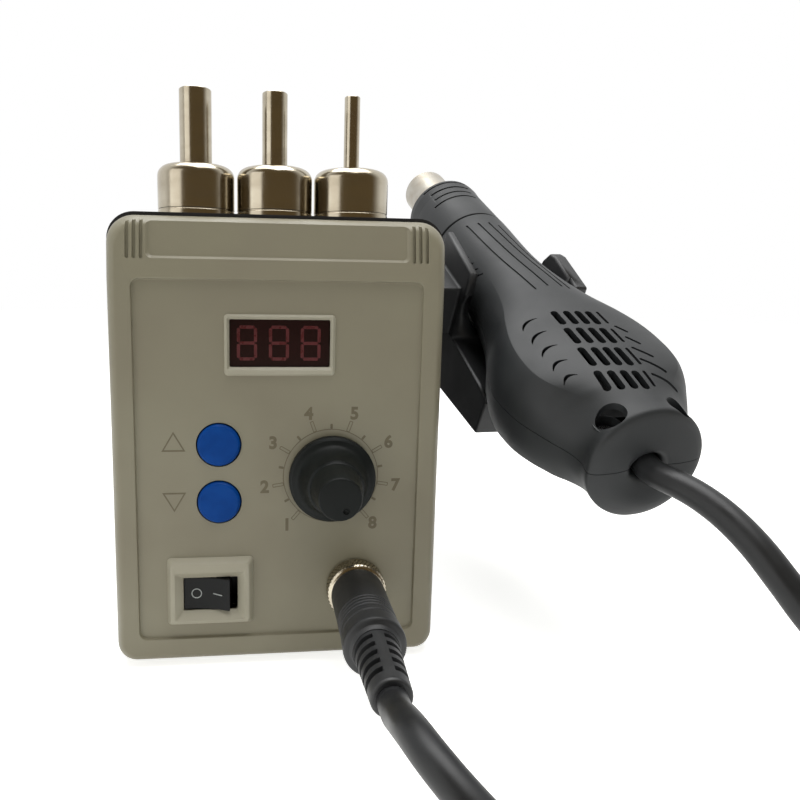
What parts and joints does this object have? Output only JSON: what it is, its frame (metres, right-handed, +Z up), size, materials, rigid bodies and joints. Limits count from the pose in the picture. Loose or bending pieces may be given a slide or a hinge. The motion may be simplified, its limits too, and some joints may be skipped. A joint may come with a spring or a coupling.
{
  "type": "hot air rework station",
  "caption": "Hot air rework station: beige front with display, buttons, airflow knob and power rocker, black steel case, blower handset in a side cradle, spare nozzles on top.",
  "frame": {"origin": "on the ground under the middle of the outline of the station with its handset, cord left out", "axes": "+Z up, -Y out of the front panel, +X to the right seen from the front, towards the handset"},
  "size_m": [0.2861, 0.2751, 0.1776],
  "materials": {
    "bezel_plastic": "satin",
    "case_paint": "satin",
    "plain_steel": "satin",
    "screw_steel": "polished",
    "foot_rubber": "matte",
    "window_red": "gloss",
    "display_black": "matte",
    "board_green": "satin",
    "brass_posts": "satin",
    "switch_black": "satin",
    "button_blue": "satin",
    "knob_grey": "satin",
    "nickel": "satin",
    "plug_rubber": "satin",
    "cord_rubber": "satin",
    "core_steel": "matte",
    "copper_wire": "satin",
    "sink_aluminium": "satin",
    "sleeve_blue": "gloss",
    "terminal_green": "satin",
    "cradle_plastic": "matte",
    "shell_plastic": "matte",
    "barrel_steel": "satin",
    "mica": "matte",
    "heater_wire": "matte"
  },
  "bodies": {
    "station": {"front_bezel": "bezel_plastic", "case_cover": "case_paint", "base_tray": "plain_steel", "rear_panel": "case_paint", "rubber_feet": "foot_rubber", "case_screws": "screw_steel", "bezel_screws": "screw_steel", "display_window": "window_red", "display_module": "display_black", "front_board": "board_green", "board_posts": "brass_posts", "tact_switches": "switch_black", "potentiometer": "plain_steel", "pot_nut": "nickel", "rocker_housing": "switch_black", "socket_shell": "nickel", "socket_nut": "nickel", "plug_body": "plug_rubber", "strain_relief": "plug_rubber", "cord_front": "cord_rubber", "cord_coil": "cord_rubber", "main_board": "board_green", "board_standoffs": "brass_posts", "transformer_core": "core_steel", "transformer_coil": "copper_wire", "transformer_screws": "screw_steel", "heat_sink": "sink_aluminium", "triac": "switch_black", "capacitors": "sleeve_blue", "terminal_blocks": "terminal_green", "mains_inlet": "switch_black", "inlet_screws": "screw_steel", "fuse_holder": "switch_black", "cradle": "cradle_plastic", "cradle_screws": "screw_steel", "cradle_magnet": "nickel"},
    "power_rocker": {"rocker": "switch_black"},
    "up_button": {"button_up": "button_blue"},
    "down_button": {"button_down": "button_blue"},
    "knob": {"airflow_knob": "knob_grey", "pot_shaft": "plain_steel"},
    "lock_ring": {"lock_ring": "nickel"},
    "large_nozzle": {"nozzle_large": "nickel"},
    "medium_nozzle": {"nozzle_medium": "nickel"},
    "small_nozzle": {"nozzle_small": "nickel"},
    "handset": {"shell_upper": "shell_plastic", "shell_lower": "shell_plastic", "nose_collar": "shell_plastic", "barrel_tube": "barrel_steel", "mica_cross": "mica", "mica_sleeve": "mica", "heater_coil": "heater_wire", "thermocouple": "heater_wire", "blower_housing": "switch_black", "blower_motor": "copper_wire", "handset_board": "board_green", "shell_screws": "screw_steel", "cord_clamp": "switch_black", "cord_rear": "cord_rubber"},
    "blower_wheel": {"impeller": "switch_black"}
  },
  "joints": [
    {"name": "rocker_pivot", "type": "hinge", "parent": "station", "child": "power_rocker", "pos_m": [-0.0584, -0.05945, 0.0237], "axis": [0, 0, 1], "range_deg": [0, 20]},
    {"name": "up_press", "type": "slide", "parent": "station", "child": "up_button", "axis": [0, 1, 0], "range_m": [0, 0.001], "stiffness_N_per_m": 600, "springref_m": -0.001},
    {"name": "down_press", "type": "slide", "parent": "station", "child": "down_button", "axis": [0, 1, 0], "range_m": [0, 0.001], "stiffness_N_per_m": 600, "springref_m": -0.001},
    {"name": "airflow_turn", "type": "hinge", "parent": "station", "child": "knob", "pos_m": [-0.0216, -0.0645, 0.0599], "axis": [0, -1, 0], "range_deg": [0, 300]},
    {"name": "ring_turn", "type": "hinge", "parent": "station", "child": "lock_ring", "pos_m": [-0.0137, -0.0645, 0.0246], "axis": [0, -1, 0], "range_deg": [0, 360]},
    {"name": "large_nozzle_lift", "type": "slide", "parent": "station", "child": "large_nozzle", "axis": [0, 0, 1], "range_m": [0, 0.05]},
    {"name": "medium_nozzle_lift", "type": "slide", "parent": "station", "child": "medium_nozzle", "axis": [0, 0, 1], "range_m": [0, 0.05]},
    {"name": "small_nozzle_lift", "type": "slide", "parent": "station", "child": "small_nozzle", "axis": [0, 0, 1], "range_m": [0, 0.05]},
    {"name": "handset_lift", "type": "slide", "parent": "station", "child": "handset", "axis": [0.0502, -0.4776, 0.8771], "range_m": [0, 0.06]},
    {"name": "blower_spin", "type": "hinge", "parent": "handset", "child": "blower_wheel", "pos_m": [0.06038, -0.05884, 0.08633], "axis": [-0.0887, -0.4875, 0.8686], "continuous": true}
  ]
}
